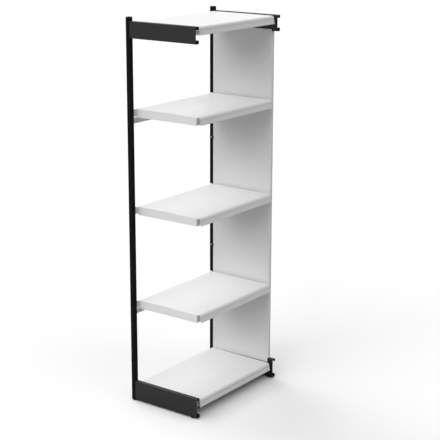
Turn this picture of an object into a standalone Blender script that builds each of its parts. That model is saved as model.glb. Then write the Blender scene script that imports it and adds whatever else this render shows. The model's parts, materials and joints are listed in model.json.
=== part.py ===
# Straight shelving bay for a corner: two slotted rear posts, a channel arm and a channel leg
# butted onto each, five folded steel shelves and one closed end on the right.
# Metres, +Z up. X runs along the bay, the front is at -Y, the floor is z = 0.

import math

import bmesh
import bpy
from mathutils import Matrix, Vector

# Overall sizes
UNIT_HEIGHT = 2.000
POST_PITCH = 0.682
SHELF_DEPTH = 0.400
FRONT_REACH = 0.005  # arms and legs run this far past the shelf fronts

# Fits
GAP = 0.0003  # between pieces that touch
RUN_GAP = 0.0004  # round pieces that slide
HOLE_GAP = 0.0003  # round a shank, on the radius

# Square posts with a column of slots in the inner face
POST_SIZE = 0.025
POST_WALL = 0.002
POST_CORNER = 0.003
CAP_HEAD = 0.002
CAP_PLUG = 0.012
SLOT_PITCH = 0.025
SLOT_HEIGHT = 0.016
SLOT_WIDTH = 0.004
SLOT_SETBACK = 0.0165  # slot centre behind the front face of the post
FIRST_SLOT = 0.133  # lower edge of the lowest slot
SLOT_MARGIN = 0.010  # plain post left below the arm

# Lipped channels as wide as the posts: arms at the top, legs at the bottom
CHANNEL_SHEET = 0.002
CHANNEL_BEND = 0.003
CHANNEL_LIP = 0.017
ARM_HEIGHT = 0.083
ARM_DROP = 0.020  # arm top below the top of the unit
LEG_HEIGHT = 0.105
END_PLATE = 0.004  # closes a channel against its post and takes the bolts
END_RELIEF = 0.0002  # end plate inside the end of the channel
BOSS_RADIUS = 0.006
BOSS_INSET = 0.075  # first boss behind the channel front, last one before the post

# Folded shelves
SHELF_SHEET = 0.0015
SHELF_HEIGHT = 0.042
SHELF_BEND = 0.002
HUNG_SIDE_GAP = 0.0135  # post face to the side of a hung shelf
FIXED_SIDE_GAP = 0.006  # post face to the side of the top or base shelf
LIP_ROUND = 0.007
LIP_FLAT = 0.021
LIP_FLARE = 0.0055
LIP_HEM = 0.006
REAR_FLANGE = 0.030
SIDE_NOTCH = 0.006  # shelf side stops this far before the post
CORNER_NOTCH = 0.004  # rear corners cut out for the bracket, front to rear
SIDE_LAP = 0.008  # shelf side behind the lip, at the bottom
TOP_SHELF_DROP = 0.003  # shelf surface below the arm top
BASE_SHELF_DROP = 0.018  # shelf surface below the leg top
SHELF_PERCENT = {"upper": 81, "middle": 52, "lower": 23}  # of the way up the slots

# Hat stiffener under each shelf
HAT_SHEET = 0.0012
HAT_TOP = 0.028
HAT_DEPTH = 0.020
HAT_SLOPE = 0.004
HAT_FOOT = 0.012
HAT_END_GAP = 0.004  # to the bracket plates

# Hook-in shelf brackets
BRACKET_SHEET = 0.002
BRACKET_HEIGHT = 0.036
BRACKET_NOSE = 0.018  # height at the front end
BRACKET_FRONT = 0.040  # front end behind the shelf front
BRACKET_TAPER = 0.220
BRACKET_TAIL = 0.003  # rear end before the rear face of the post
JOG_START = 0.002  # behind the front face of the post
JOG_LENGTH = 0.010
HOOK_LEVEL = 0.012  # underside of the upper hook below the shelf surface
HOOK_NECK = 0.007
HOOK_DROP = 0.006
HOOK_SHEET = 0.0024
HOOK_LIP = 0.002

# End panel, a folded sheet that laps over the post, the arm and the leg
PANEL_SHEET = 0.0015
PANEL_ROUND = 0.010
PANEL_FRONT = 0.028  # panel front behind the channel fronts
PANEL_RETURN = 0.024  # front edge, across
PANEL_HEM = 0.012
PANEL_POST_LAP = 0.006
PANEL_ARM_LAP = 0.009
PANEL_TUCK = 0.003  # panel foot below the surface of the base shelf
PANEL_RELIEF = 0.002  # front edge clear of the arm and the leg
LAP_SCREW_RADIUS = 0.00175
LAP_SCREW_HEAD = 0.0030
LAP_SCREW_HEAD_HEIGHT = 0.0012
LAP_SCREW_LENGTH = 0.006
LAP_SCREW_RISE = 0.0058  # from the near edge of the arm or leg
LAP_SCREW_INSET = 0.060
CLIP_SHEET = 0.002
CLIP_HEIGHT = 0.014
CLIP_LAP = 0.009  # over the panel
CLIP_TAIL = 0.016  # over the post

# Tie rails between the posts
RAIL_SHEET = 0.0015
RAIL_HEIGHT = 0.026
RAIL_BEND = 0.002
RAIL_GAP = 0.002  # below the shelf that hangs over it
RAIL_SETBACK = 0.008  # behind the post front
RAIL_DEPTH = 0.015
EAR_SHEET = 0.002
EAR_MARGIN = 0.001
RAIL_SHELVES = ("upper", "lower")

# Levelling feet
FOOT_HEIGHT = 0.006
FOOT_RADIUS = 0.012
FOOT_EDGE = 0.0015
FOOT_STUD_RADIUS = 0.004
FOOT_STUD = 0.022
FOOT_INSET = 0.032  # front foot behind the channel front
INSERT_HEIGHT = 0.014
NUT_RADIUS = 0.0075
NUT_SIDES = 6
NUT_HEIGHT = 0.007

# Fasteners
BOLT_RADIUS = 0.003
BOLT_HEAD = 0.0055
BOLT_HEAD_HEIGHT = 0.0017
BOLT_TAIL = 0.003  # past the end plate
BOLT_SPREAD = 0.046  # between the two bolts of a joint
SCREW_RADIUS = 0.0025
SCREW_HEAD = 0.0048
SCREW_HEAD_HEIGHT = 0.0028
SCREW_LENGTH = 0.012
SCREW_LEVEL = 0.028  # below the shelf surface

# Facets
BEND_STEPS = 2
ROUND_STEPS = 4
TURN_STEPS = 12
WELD = 0.00001
CUT_REACH = 0.002  # cutters run this far past what they cut

# Places that follow from the sizes
POST_X = POST_PITCH / 2
UNIT_DEPTH = FRONT_REACH + SHELF_DEPTH + POST_SIZE
REAR_Y = UNIT_DEPTH / 2
FRONT_Y = -REAR_Y
POST_FRONT = REAR_Y - POST_SIZE
POST_Y = REAR_Y - POST_SIZE / 2
POST_FACE = POST_SIZE / 2  # inner face, from the post's centre line
POST_END = UNIT_HEIGHT - CAP_HEAD - GAP
SLOT_Y = POST_FRONT + SLOT_SETBACK
SHELF_FRONT = FRONT_Y + FRONT_REACH
LIP_Y = SHELF_FRONT + LIP_FLARE
ARM_TOP = UNIT_HEIGHT - ARM_DROP
ARM_BOTTOM = ARM_TOP - ARM_HEIGHT
LEG_BOTTOM = FOOT_HEIGHT
LEG_TOP = LEG_BOTTOM + LEG_HEIGHT
CHANNEL_END = POST_FRONT - GAP
BOLT_LENGTH = POST_SIZE + GAP + END_PLATE + BOLT_TAIL
HUNG_SIDE = POST_FACE + HUNG_SIDE_GAP  # outer face of a shelf side
FIXED_SIDE = POST_FACE + FIXED_SIDE_GAP
SIDE_REAR = POST_FRONT - SIDE_NOTCH
SIDE_FRONT = LIP_Y + LIP_ROUND + SHELF_SHEET
BRACKET_IN = HUNG_SIDE + SHELF_SHEET + RUN_GAP + BRACKET_SHEET / 2
BRACKET_OUT = POST_FACE + GAP + BRACKET_SHEET / 2
BRACKET_TOP = -SHELF_SHEET - GAP
BRACKET_BOTTOM = BRACKET_TOP - BRACKET_HEIGHT
TOP_SHELF = ARM_TOP - TOP_SHELF_DROP
BASE_SHELF = LEG_TOP - BASE_SHELF_DROP
PANEL_OUT = POST_FACE + GAP  # face on the frame, from the post's centre line
PANEL_IN = PANEL_OUT + PANEL_SHEET
PANEL_BOTTOM = BASE_SHELF - PANEL_TUCK
PANEL_TOP = ARM_BOTTOM + PANEL_ARM_LAP
PANEL_FRONT_Y = FRONT_Y + PANEL_FRONT
PANEL_REAR_Y = POST_FRONT + PANEL_POST_LAP
SLOT_ROOM = ARM_BOTTOM - SLOT_MARGIN - SLOT_HEIGHT - FIRST_SLOT
LAST_SLOT = int(SLOT_ROOM / SLOT_PITCH)
LAP_SCREW_YS = (PANEL_FRONT_Y + LAP_SCREW_INSET, PANEL_REAR_Y - LAP_SCREW_INSET)
LAP_SCREW_LEVELS = {"top": ARM_BOTTOM + LAP_SCREW_RISE, "bottom": LEG_TOP - LAP_SCREW_RISE}
BOSS_YS = (FRONT_Y + BOSS_INSET, POST_FRONT - BOSS_INSET)
FOOT_Y = FRONT_Y + FOOT_INSET

# Turns from an outline's own plane to the plane it stands in
ALONG_X = Matrix(((0, 0, 1, 0), (1, 0, 0, 0), (0, 1, 0, 0), (0, 0, 0, 1)))
ALONG_Y = Matrix(((1, 0, 0, 0), (0, 0, -1, 0), (0, 1, 0, 0), (0, 0, 0, 1)))
ALONG_Z = Matrix.Identity(4)
SIDES = {"left": -1, "right": 1}


def shelf_level(name):
    slot = round(SHELF_PERCENT[name] * LAST_SLOT / 100)
    return FIRST_SLOT + slot * SLOT_PITCH + GAP + HOOK_LEVEL


def clear_scene():
    for item in list(bpy.data.objects):
        bpy.data.objects.remove(item, do_unlink=True)


def new_collection(name):
    group = bpy.data.collections.new(name)
    bpy.context.scene.collection.children.link(group)
    return group


def new_material(name, colour, roughness, metallic):
    made = bpy.data.materials.new(name)
    made.use_nodes = True
    shader = made.node_tree.nodes["Principled BSDF"]
    shader.inputs["Base Color"].default_value = (*colour, 1.0)
    shader.inputs["Roughness"].default_value = roughness
    shader.inputs["Metallic"].default_value = metallic
    return made


# Outlines and meshes


def bent(points, steps, closed=False):
    """Points (u, v, radius): every corner with a radius becomes an arc."""
    path = []
    last = len(points) - 1
    for index, (u, v, radius) in enumerate(points):
        corner = Vector((u, v))
        if radius == 0 or (not closed and index in (0, last)):
            path.append(corner)
            continue
        before = (Vector(points[index - 1][:2]) - corner).normalized()
        after = (Vector(points[(index + 1) % len(points)][:2]) - corner).normalized()
        half = before.angle(after) / 2
        centre = corner + (before + after).normalized() * (radius / math.sin(half))
        reach = radius / math.tan(half)
        start = corner + before * reach - centre
        end = corner + after * reach - centre
        first = math.atan2(start.y, start.x)
        sweep = (math.atan2(end.y, end.x) - first + math.pi) % (2 * math.pi) - math.pi
        for step in range(steps + 1):
            angle = first + sweep * step / steps
            path.append(centre + radius * Vector((math.cos(angle), math.sin(angle))))
    return path


def rectangle(low, high, radius=0.0, steps=ROUND_STEPS):
    corners = [(low[0], low[1], radius), (high[0], low[1], radius)]
    corners += [(high[0], high[1], radius), (low[0], high[1], radius)]
    return bent(corners, steps, closed=True)


def ring(centre, radius, sides):
    turn = 2 * math.pi / sides
    return [
        Vector(centre) + radius * Vector((math.cos(turn * k), math.sin(turn * k)))
        for k in range(sides)
    ]


def curve_mesh(loops, width, closed, plane):
    """A flat curve given a width: a ribbon where it is open, a plate where it is closed."""
    curve = bpy.data.curves.new("outline", "CURVE")
    curve.dimensions = "2D"
    curve.fill_mode = "BOTH" if closed else "NONE"
    curve.extrude = width / 2
    for loop in loops:
        spline = curve.splines.new("POLY")
        spline.points.add(len(loop) - 1)
        for point, place in zip(spline.points, loop):
            point.co = (place[0], place[1], 0.0, 1.0)
        spline.use_cyclic_u = closed
    holder = bpy.data.objects.new("outline", curve)
    bpy.context.scene.collection.objects.link(holder)
    view = bpy.context.evaluated_depsgraph_get()
    mesh = bpy.data.meshes.new_from_object(holder.evaluated_get(view))
    bpy.data.objects.remove(holder)
    bpy.data.curves.remove(curve)
    work = bmesh.new()
    work.from_mesh(mesh)
    bmesh.ops.remove_doubles(work, verts=work.verts, dist=WELD)
    if closed:
        bmesh.ops.recalc_face_normals(work, faces=work.faces)
    bmesh.ops.transform(work, matrix=plane, verts=work.verts)
    work.to_mesh(mesh)
    work.free()
    return mesh


def plate(loops, thickness, plane, offset=(0, 0, 0)):
    mesh = curve_mesh(loops, thickness, True, plane)
    mesh.transform(Matrix.Translation(offset))
    return mesh


def boxes(corners):
    work = bmesh.new()
    for low, high in corners:
        low, high = Vector(low), Vector(high)
        place = Matrix.Translation((low + high) / 2) @ Matrix.Diagonal((*(high - low), 1))
        bmesh.ops.create_cube(work, size=1, matrix=place)
    mesh = bpy.data.meshes.new("boxes")
    work.to_mesh(mesh)
    work.free()
    return mesh


def rods(places, radius, length, direction):
    """Round bars on the given centres, along one axis."""
    turn = Vector((0, 0, 1)).rotation_difference(Vector(direction)).to_matrix().to_4x4()
    work = bmesh.new()
    for place in places:
        bmesh.ops.create_cone(
            work, cap_ends=True, segments=TURN_STEPS, radius1=radius, radius2=radius,
            depth=length, matrix=Matrix.Translation(place) @ turn)
    mesh = bpy.data.meshes.new("rods")
    work.to_mesh(mesh)
    work.free()
    return mesh


def profile_mesh(points):
    """Half section of a turned piece, from its top on the axis to its foot on the axis."""
    mesh = bpy.data.meshes.new("profile")
    edges = [(k, k + 1) for k in range(len(points) - 1)]
    mesh.from_pydata([(radius, 0, height) for radius, height in points], edges, [])
    return mesh


def turn(item):
    screw = item.modifiers.new("turned", "SCREW")
    screw.axis = "Z"
    screw.steps = TURN_STEPS
    screw.render_steps = TURN_STEPS
    screw.use_merge_vertices = True
    screw.merge_threshold = WELD
    return item


def folded(item, thickness):
    """Sheet metal: thickness either side of the drawn surface."""
    sheet = item.modifiers.new("sheet", "SOLIDIFY")
    sheet.solidify_mode = "NON_MANIFOLD"
    sheet.nonmanifold_thickness_mode = "CONSTRAINTS"
    sheet.nonmanifold_boundary_mode = "FLAT"
    sheet.thickness = thickness
    sheet.offset = 0
    return item


def tool(name, mesh, location=(0, 0, 0)):
    item = bpy.data.objects.new(name, mesh)
    item.location = location
    item.hide_render = True
    item.display_type = "WIRE"
    cutters.objects.link(item)
    return item


def combine(item, other, operation):
    change = item.modifiers.new(operation.lower(), "BOOLEAN")
    change.operation = operation
    change.solver = "EXACT"
    change.object = other
    return item


def baked(item):
    """The evaluated shape of a working object, which is then removed with its tools."""
    view = bpy.context.evaluated_depsgraph_get()
    mesh = bpy.data.meshes.new_from_object(item.evaluated_get(view))
    used = [change.object for change in item.modifiers if change.type == "BOOLEAN"]
    for gone in [item, *used]:
        bpy.data.objects.remove(gone)
    return mesh


def mirrored(mesh):
    work = bmesh.new()
    work.from_mesh(mesh)
    bmesh.ops.scale(work, vec=(-1, 1, 1), verts=work.verts)
    bmesh.ops.reverse_faces(work, faces=work.faces)
    copy = bpy.data.meshes.new(mesh.name + "_mirrored")
    work.to_mesh(copy)
    work.free()
    return copy


def part(name, mesh, finish, location=(0, 0, 0), rotation=(0, 0, 0), parent=None):
    item = bpy.data.objects.new(name, mesh)
    item.location = location
    item.rotation_euler = rotation
    item.parent = parent
    if not mesh.materials:
        mesh.materials.append(finish)
    parts.objects.link(item)
    return item


def joint_empty(name, location):
    empty = bpy.data.objects.new(name, None)
    empty.location = location
    empty.empty_display_size = 0.05
    parts.objects.link(empty)
    return empty


def pair(name, mesh, finish):
    """A left piece and its mirror image on the right, both drawn from a post's centre line."""
    shapes = {"left": mesh, "right": mirrored(mesh)}
    for side, sign in SIDES.items():
        part(name.format(side), shapes[side], finish, (sign * POST_X, 0, 0))


# Posts, with x measured inwards from the post's centre line


def joint_levels(bottom, height):
    middle = bottom + height / 2
    return (middle - BOLT_SPREAD / 2, middle + BOLT_SPREAD / 2)


def bolt_levels():
    return (*joint_levels(ARM_BOTTOM, ARM_HEIGHT), *joint_levels(LEG_BOTTOM, LEG_HEIGHT))


def make_posts():
    bore = POST_FACE - POST_WALL
    outer = rectangle((-POST_FACE, POST_FRONT), (POST_FACE, REAR_Y), POST_CORNER)
    inner = rectangle((-bore, POST_FRONT + POST_WALL), (bore, REAR_Y - POST_WALL))
    length = POST_END - LEG_BOTTOM
    shape = tool("post", plate([outer, inner], length, ALONG_Z, (0, 0, LEG_BOTTOM + length / 2)))
    slots = []
    for index in range(LAST_SLOT + 1):
        low = FIRST_SLOT + index * SLOT_PITCH
        slots.append((
            (bore - CUT_REACH, SLOT_Y - SLOT_WIDTH / 2, low),
            (POST_FACE + CUT_REACH, SLOT_Y + SLOT_WIDTH / 2, low + SLOT_HEIGHT)))
    combine(shape, tool("slots", boxes(slots)), "DIFFERENCE")
    cutter = tool("bolt_hole", bolt_profile(HOLE_GAP, CUT_REACH))
    combine(shape, tool("bolt_holes", bolt_holes(cutter, bolt_levels())), "DIFFERENCE")
    pair("{}_post", baked(shape), black)


def make_caps():
    head = plate([rectangle((-POST_FACE, -POST_FACE), (POST_FACE, POST_FACE), POST_CORNER)],
                 CAP_HEAD, ALONG_Z, (0, 0, UNIT_HEIGHT - CAP_HEAD / 2))
    half = POST_FACE - POST_WALL - GAP
    length = CAP_PLUG + CAP_HEAD / 2
    plug = plate([rectangle((-half, -half), (half, half))], length, ALONG_Z,
                 (0, 0, UNIT_HEIGHT - CAP_HEAD / 2 - length / 2))
    cap = combine(tool("cap", head), tool("plug", plug), "UNION")
    mesh = baked(cap)
    for side, sign in SIDES.items():
        part(f"{side}_post_cap", mesh, plastic, (sign * POST_X, POST_Y, 0))


# Arms and legs: the same lipped channel at both ends, open towards +X


def channel(bottom, height, shelf, sign):
    """An arm or a leg, x from the post's centre line, with bosses towards the shelf."""
    half = CHANNEL_SHEET / 2
    web = -POST_FACE + half
    lip = POST_FACE - half
    low, high = bottom + half, bottom + height - half
    section = [
        (lip, bottom + height - CHANNEL_LIP, 0), (lip, high, CHANNEL_BEND),
        (web, high, CHANNEL_BEND), (web, low, CHANNEL_BEND),
        (lip, low, CHANNEL_BEND), (lip, bottom + CHANNEL_LIP, 0)]
    ribbon = curve_mesh([bent(section, BEND_STEPS)], CHANNEL_END - FRONT_Y, False, ALONG_Y)
    ribbon.transform(Matrix.Translation((0, (CHANNEL_END + FRONT_Y) / 2, 0)))
    item = folded(tool("channel", ribbon), CHANNEL_SHEET)
    rear = CHANNEL_END - END_RELIEF
    end = boxes([((web, rear - END_PLATE, low), (lip, rear, high))])
    combine(item, tool("end_plate", end), "UNION")
    middle = CHANNEL_END - END_PLATE / 2
    spots = [(0, middle, level) for level in joint_levels(bottom, height)]
    drill = rods(spots, BOLT_RADIUS + HOLE_GAP, END_PLATE + 2 * CUT_REACH, (0, 1, 0))
    combine(item, tool("bolt_holes", drill), "DIFFERENCE")

    reach = -sign * (FIXED_SIDE - GAP)
    screw_line = shelf - SCREW_LEVEL
    bosses = [((web + reach) / 2, y, screw_line) for y in BOSS_YS]
    boss = rods(bosses, BOSS_RADIUS, abs(reach - web), (1, 0, 0))
    combine(item, tool("bosses", boss), "UNION")
    depth = SCREW_LENGTH + CUT_REACH
    across = reach - sign * (CUT_REACH - depth / 2)
    bore = rods([(across, y, screw_line) for y in BOSS_YS], SCREW_RADIUS + HOLE_GAP, depth, (1, 0, 0))
    combine(item, tool("boss_bores", bore), "DIFFERENCE")
    return item


def bolt_profile(grow, above):
    """Countersunk bolt, its head flush at height 0. A grown one that runs on above cuts its hole."""
    flare = (BOLT_HEAD - BOLT_RADIUS) / BOLT_HEAD_HEIGHT
    head = BOLT_HEAD + grow + flare * above
    shank = BOLT_RADIUS + grow
    foot = -BOLT_LENGTH - above
    return profile_mesh([(0, above), (head, above), (shank, -BOLT_HEAD_HEIGHT), (shank, foot), (0, foot)])


def bolt_holes(cutter, levels):
    hole = baked(turn(cutter))
    facing = Matrix.Rotation(-math.pi / 2, 4, "X")
    work = bmesh.new()
    for level in levels:
        copy = hole.copy()
        copy.transform(Matrix.Translation((0, REAR_Y, level)) @ facing)
        work.from_mesh(copy)
    mesh = bpy.data.meshes.new("bolt_holes")
    work.to_mesh(mesh)
    work.free()
    return mesh


def lap_holes(item, place):
    """Holes for the screws of the end panel, in the web of the right arm or leg."""
    spots = [(-POST_FACE, y, LAP_SCREW_LEVELS[place]) for y in LAP_SCREW_YS]
    drill = rods(spots, LAP_SCREW_RADIUS + HOLE_GAP, 2 * (CHANNEL_SHEET + CUT_REACH), (1, 0, 0))
    combine(item, tool("lap_holes", drill), "DIFFERENCE")


def make_channels():
    for side, sign in SIDES.items():
        arm = channel(ARM_BOTTOM, ARM_HEIGHT, TOP_SHELF, sign)
        leg = channel(LEG_BOTTOM, LEG_HEIGHT, BASE_SHELF, sign)
        drill = rods([(0, FOOT_Y, LEG_BOTTOM)], FOOT_STUD_RADIUS + HOLE_GAP,
                     2 * (CHANNEL_SHEET + CUT_REACH), (0, 0, 1))
        combine(leg, tool("foot_hole", drill), "DIFFERENCE")
        if side == "right":
            lap_holes(arm, "top")
            lap_holes(leg, "bottom")
        spot = (sign * POST_X, 0, 0)
        part(f"{side}_top_arm", baked(arm), black, spot)
        part(f"{side}_base_leg", baked(leg), black, spot)


def make_frame_bolts():
    profile = bolt_profile(0, 0)
    names = ("arm_bolt_lower", "arm_bolt_upper", "leg_bolt_lower", "leg_bolt_upper")
    for side, sign in SIDES.items():
        for name, level in zip(names, bolt_levels()):
            spot = (sign * POST_X, REAR_Y, level)
            turn(part(f"{side}_{name}", profile, zinc, spot, (-math.pi / 2, 0, 0)))


# Shelves, drawn with the top surface at z = 0


def shelf_mesh(side, screw_holes):
    half = SHELF_SHEET / 2
    section = [
        (POST_FRONT - half, -REAR_FLANGE, 0),
        (POST_FRONT - half, -half, SHELF_BEND),
        (SIDE_REAR, -half, 0),
        (SIDE_FRONT, -half, 0),
        (LIP_Y + half, -half, LIP_ROUND),
        (LIP_Y + half, -LIP_FLAT, LIP_ROUND),
        (SHELF_FRONT + half, -SHELF_HEIGHT + half, SHELF_BEND),
        (SHELF_FRONT + LIP_HEM, -SHELF_HEIGHT + half, 0)]
    width = POST_PITCH - 2 * side - SHELF_SHEET
    ribbon = curve_mesh([bent(section, ROUND_STEPS)], width, False, ALONG_X)
    work = bmesh.new()
    work.from_mesh(ribbon)
    folds = [
        edge for edge in work.edges
        if edge.is_boundary
        and abs(edge.calc_length() - (SIDE_REAR - SIDE_FRONT)) < WELD
        and abs(edge.verts[0].co.x - edge.verts[1].co.x) < WELD]
    sides = bmesh.ops.extrude_edge_only(work, edges=folds)
    lower = [item for item in sides["geom"] if isinstance(item, bmesh.types.BMVert)]
    front = min(corner.co.y for corner in lower)
    for corner in lower:
        corner.co.z = -SHELF_HEIGHT
        if corner.co.y < front + WELD:
            corner.co.y = LIP_Y + SIDE_LAP
    work.to_mesh(ribbon)
    work.free()
    item = folded(tool("shelf", ribbon), SHELF_SHEET)
    edge = POST_X - side
    room = SHELF_SHEET + BRACKET_SHEET + 3 * RUN_GAP
    notches = [(
        (min(sign * (edge - room), sign * (edge + CUT_REACH)), POST_FRONT - CORNER_NOTCH, -SHELF_HEIGHT),
        (max(sign * (edge - room), sign * (edge + CUT_REACH)), POST_FRONT + CUT_REACH, CUT_REACH))
        for sign in SIDES.values()]
    combine(item, tool("notches", boxes(notches)), "DIFFERENCE")
    if screw_holes:
        holes = [(sign * (edge - half), y, -SCREW_LEVEL) for sign in SIDES.values() for y in BOSS_YS]
        cutter = rods(holes, SCREW_RADIUS + HOLE_GAP, SHELF_SHEET + 2 * CUT_REACH, (1, 0, 0))
        combine(item, tool("screw_holes", cutter), "DIFFERENCE")
    return baked(item)


def hat_mesh():
    half = HAT_TOP / 2
    foot = half + HAT_SLOPE + HAT_FOOT
    top = -SHELF_SHEET - GAP - HAT_SHEET / 2
    section = [
        (-foot, top, 0), (-half - HAT_SLOPE, top, 0), (-half, top - HAT_DEPTH, 0),
        (half, top - HAT_DEPTH, 0), (half + HAT_SLOPE, top, 0), (foot, top, 0)]
    end = BRACKET_IN + BRACKET_SHEET / 2 + HAT_END_GAP
    ribbon = curve_mesh([bent(section, BEND_STEPS)], POST_PITCH - 2 * end, False, ALONG_X)
    return baked(folded(tool("hat", ribbon), HAT_SHEET))


def bracket_mesh():
    """Left bracket, x inwards from the post's centre line, z down from the shelf surface."""
    jog = POST_FRONT + JOG_START
    line = [
        (BRACKET_IN, SHELF_FRONT + BRACKET_FRONT), (BRACKET_IN, jog),
        (BRACKET_OUT, jog + JOG_LENGTH), (BRACKET_OUT, REAR_Y - BRACKET_TAIL)]
    ribbon = curve_mesh([line], BRACKET_HEIGHT, False, ALONG_Z)
    ribbon.transform(Matrix.Translation((0, 0, BRACKET_TOP - BRACKET_HEIGHT / 2)))
    item = folded(tool("bracket", ribbon), BRACKET_SHEET)
    front = SHELF_FRONT + BRACKET_FRONT - CUT_REACH
    wedge = [
        (front, BRACKET_TOP - BRACKET_NOSE), (front, BRACKET_BOTTOM - CUT_REACH),
        (front + BRACKET_TAPER, BRACKET_BOTTOM - CUT_REACH)]
    under = plate([wedge], BRACKET_SHEET + 2 * CUT_REACH, ALONG_X, (BRACKET_IN, 0, 0))
    combine(item, tool("taper", under), "DIFFERENCE")
    catch = POST_FACE - POST_WALL - RUN_GAP
    for level in (-HOOK_LEVEL, -HOOK_LEVEL - SLOT_PITCH):
        outline = [
            (BRACKET_OUT, level), (catch, level), (catch, level - HOOK_DROP),
            (catch - HOOK_LIP, level - HOOK_DROP), (catch - HOOK_LIP, level + HOOK_NECK),
            (BRACKET_OUT, level + HOOK_NECK)]
        hook = plate([outline], HOOK_SHEET, ALONG_Y, (0, SLOT_Y, 0))
        combine(item, tool("hook", hook), "UNION")
    return baked(item)


def make_shelves():
    hung = shelf_mesh(HUNG_SIDE, False)
    screwed = shelf_mesh(FIXED_SIDE, True)
    hat = hat_mesh()
    bracket = bracket_mesh()
    brackets = {"left": bracket, "right": mirrored(bracket)}
    for name in SHELF_PERCENT:
        slide = joint_empty(f"{name}_shelf_slide", (0, 0, shelf_level(name)))
        part(f"{name}_shelf", hung, white, parent=slide)
        part(f"{name}_shelf_stiffener", hat, white, parent=slide)
        for side, sign in SIDES.items():
            spot = (sign * POST_X, 0, 0)
            part(f"{name}_{side}_bracket", brackets[side], white, spot, parent=slide)
    for name, level in (("top", TOP_SHELF), ("base", BASE_SHELF)):
        part(f"{name}_shelf", screwed, white, (0, 0, level))
        part(f"{name}_shelf_stiffener", hat, white, (0, 0, level))


def make_shelf_screws():
    profile = profile_mesh([
        (0, SCREW_HEAD_HEIGHT), (SCREW_HEAD, SCREW_HEAD_HEIGHT), (SCREW_HEAD, 0),
        (SCREW_RADIUS, 0), (SCREW_RADIUS, -SCREW_LENGTH), (0, -SCREW_LENGTH)])
    seat = POST_X - FIXED_SIDE - SHELF_SHEET - GAP
    for name, level in (("top", TOP_SHELF), ("base", BASE_SHELF)):
        for side, sign in SIDES.items():
            for place, y in zip(("front", "rear"), BOSS_YS):
                spot = (sign * seat, y, level - SCREW_LEVEL)
                facing = (0, -sign * math.pi / 2, 0)
                turn(part(f"{name}_shelf_screw_{side}_{place}", profile, zinc, spot, facing))


# End panel on the right, drawn with x from the post's centre line


def make_panel():
    half = PANEL_SHEET / 2
    skin = -PANEL_IN + half
    edge = -PANEL_IN + PANEL_RETURN - half
    front = PANEL_FRONT_Y + half
    section = [
        (skin, PANEL_REAR_Y, 0), (skin, front, PANEL_ROUND),
        (edge, front, PANEL_ROUND), (edge, front + PANEL_ROUND + PANEL_HEM, 0)]
    height = PANEL_TOP - PANEL_BOTTOM
    ribbon = curve_mesh([bent(section, 2 * ROUND_STEPS)], height, False, ALONG_Z)
    ribbon.transform(Matrix.Translation((0, 0, (PANEL_TOP + PANEL_BOTTOM) / 2)))
    item = folded(tool("panel", ribbon), PANEL_SHEET)
    clear = (-PANEL_OUT, PANEL_FRONT_Y - CUT_REACH)
    far = (edge + PANEL_RETURN, PANEL_REAR_Y - LAP_SCREW_INSET)
    laps = boxes([
        ((*clear, ARM_BOTTOM - PANEL_RELIEF), (*far, PANEL_TOP + CUT_REACH)),
        ((*clear, PANEL_BOTTOM - CUT_REACH), (*far, LEG_TOP + PANEL_RELIEF))])
    combine(item, tool("laps", laps), "DIFFERENCE")
    spots = [(skin, y, level) for y in LAP_SCREW_YS for level in LAP_SCREW_LEVELS.values()]
    drill = rods(spots, LAP_SCREW_RADIUS + HOLE_GAP, PANEL_SHEET + 2 * CUT_REACH, (1, 0, 0))
    combine(item, tool("lap_holes", drill), "DIFFERENCE")
    part("end_panel", baked(item), white, (POST_X, 0, 0))

    screw = profile_mesh([
        (0, LAP_SCREW_HEAD_HEIGHT), (LAP_SCREW_HEAD, LAP_SCREW_HEAD_HEIGHT), (LAP_SCREW_HEAD, 0),
        (LAP_SCREW_RADIUS, 0), (LAP_SCREW_RADIUS, -LAP_SCREW_LENGTH), (0, -LAP_SCREW_LENGTH)])
    across = POST_X - PANEL_IN - GAP
    for level_name, level in LAP_SCREW_LEVELS.items():
        for place, y in zip(("front", "rear"), LAP_SCREW_YS):
            name = f"panel_screw_{level_name}_{place}"
            turn(part(name, screw, white, (across, y, level), (0, -math.pi / 2, 0)))


def make_clips():
    """Stepped clips: the tail lies on the post, the toe over the rear edge of the panel."""
    toe = -PANEL_IN - GAP
    outline = [
        (-POST_FACE - GAP, PANEL_REAR_Y + GAP), (-POST_FACE - GAP, PANEL_REAR_Y + CLIP_TAIL),
        (toe - CLIP_SHEET, PANEL_REAR_Y + CLIP_TAIL), (toe - CLIP_SHEET, PANEL_REAR_Y - CLIP_LAP),
        (toe, PANEL_REAR_Y - CLIP_LAP), (toe, PANEL_REAR_Y + GAP)]
    clip = plate([outline], CLIP_HEIGHT, ALONG_Z)
    third = (PANEL_TOP - PANEL_BOTTOM) / 3
    for place, level in (("lower", PANEL_BOTTOM + third), ("upper", PANEL_TOP - third)):
        part(f"panel_clip_{place}", clip, black, (POST_X, 0, level))


# Tie rails, drawn with the top edge at z = 0


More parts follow.
